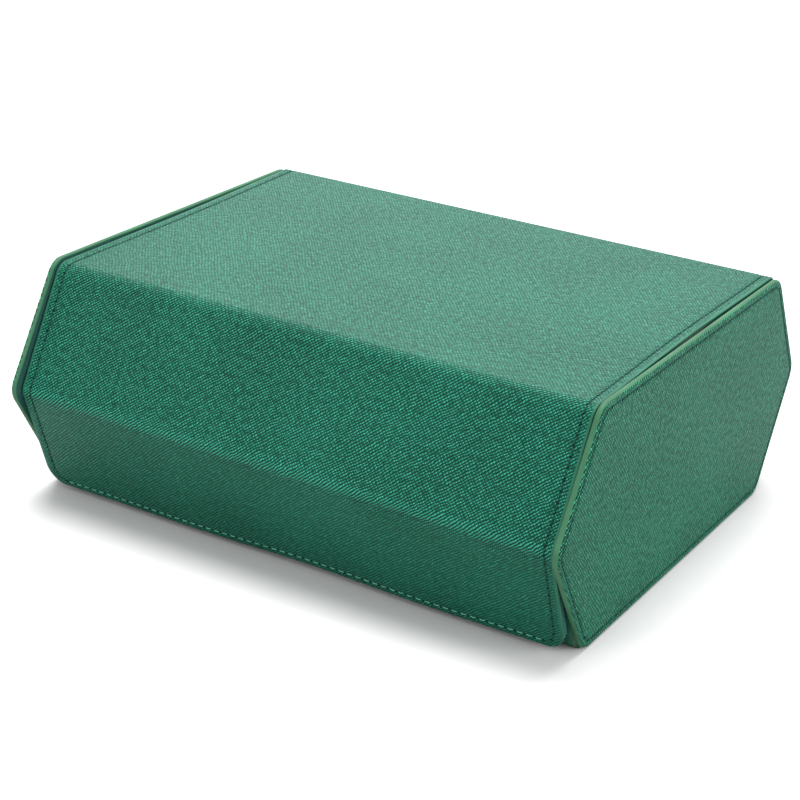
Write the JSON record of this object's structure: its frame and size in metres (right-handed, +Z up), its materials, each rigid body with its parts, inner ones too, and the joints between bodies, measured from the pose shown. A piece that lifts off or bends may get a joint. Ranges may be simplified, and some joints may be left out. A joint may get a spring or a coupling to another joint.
{
  "type": "card deck box",
  "caption": "hexagonal leathercloth card deck box with a back-hinged lid that folds down the front and shuts with magnets, two card rows and sliding dividers inside",
  "frame": {"origin": "centre of the footprint, on the surface the box stands on", "axes": "X along the length, -Y towards the closing flap, +Z up"},
  "size_m": [0.28, 0.2447, 0.1102],
  "materials": {
    "leathercloth": "green cross-grained leathercloth, low sheen",
    "microfibre": "dark teal brushed microfibre",
    "greyboard": "plain grey bookbinding board",
    "thread": "dark green sewing thread",
    "magnet": "nickel plated bar magnet",
    "fibreboard": "medium density fibreboard"
  },
  "bodies": {
    "box_base": {"bottom_skin": "leathercloth", "bottom_board": "greyboard", "back_skin": "leathercloth", "back_lower_board": "greyboard", "back_upper_board": "greyboard", "left_end_skin": "leathercloth", "left_end_board": "greyboard", "left_end_lining": "microfibre", "left_end_seam": "thread", "right_end_skin": "leathercloth", "right_end_board": "greyboard", "right_end_lining": "microfibre", "right_end_seam": "thread", "front_wall_board": "greyboard", "front_wall_cover": "microfibre", "back_wall_board": "greyboard", "back_wall_cover": "microfibre", "centre_partition_board": "greyboard", "centre_partition_cover": "microfibre", "floor_lining": "microfibre", "sill_skin": "leathercloth", "sill_block": "fibreboard", "sill_magnet_1": "magnet", "sill_magnet_2": "magnet", "sill_magnet_3": "magnet", "sill_magnet_4": "magnet", "back_left_seam": "thread", "back_right_seam": "thread", "back_top_fold": "leathercloth"},
    "lid": {"lid_skin": "leathercloth", "lid_board": "greyboard", "lid_lining": "microfibre", "lid_left_seam": "thread", "lid_right_seam": "thread", "front_top_fold": "leathercloth"},
    "front_slope": {"front_slope_skin": "leathercloth", "front_slope_board": "greyboard", "front_slope_lining": "microfibre", "front_slope_left_seam": "thread", "front_slope_right_seam": "thread", "front_middle_fold": "leathercloth"},
    "flap": {"flap_skin": "leathercloth", "flap_board": "greyboard", "flap_lining": "microfibre", "flap_seam": "thread", "flap_magnet_1": "magnet", "flap_magnet_2": "magnet", "flap_magnet_3": "magnet", "flap_magnet_4": "magnet"},
    "front_divider_1": {"front_divider_1_board": "greyboard", "front_divider_1_cover": "microfibre"},
    "front_divider_2": {"front_divider_2_board": "greyboard", "front_divider_2_cover": "microfibre"},
    "back_divider_1": {"back_divider_1_board": "greyboard", "back_divider_1_cover": "microfibre"},
    "back_divider_2": {"back_divider_2_board": "greyboard", "back_divider_2_cover": "microfibre"}
  },
  "joints": [
    {"name": "lid_hinge", "type": "hinge", "parent": "box_base", "child": "lid", "pos_m": [0, 0.08983, 0.10869], "axis": [-1, 0, 0], "range_deg": [0, 115]},
    {"name": "front_slope_fold", "type": "hinge", "parent": "lid", "child": "front_slope", "pos_m": [0, -0.08973, 0.10701], "axis": [-1, 0, 0], "range_deg": [0, 100]},
    {"name": "flap_fold", "type": "hinge", "parent": "front_slope", "child": "flap", "pos_m": [0, -0.11737, 0.05488], "axis": [-1, 0, 0], "range_deg": [0, 110]},
    {"name": "front_divider_1_slide", "type": "slide", "parent": "box_base", "child": "front_divider_1", "axis": [1, 0, 0], "range_m": [-0.09, 0.042]},
    {"name": "front_divider_2_slide", "type": "slide", "parent": "box_base", "child": "front_divider_2", "axis": [1, 0, 0], "range_m": [-0.042, 0.09]},
    {"name": "back_divider_1_slide", "type": "slide", "parent": "box_base", "child": "back_divider_1", "axis": [1, 0, 0], "range_m": [-0.09, 0.042]},
    {"name": "back_divider_2_slide", "type": "slide", "parent": "box_base", "child": "back_divider_2", "axis": [1, 0, 0], "range_m": [-0.042, 0.09]}
  ]
}
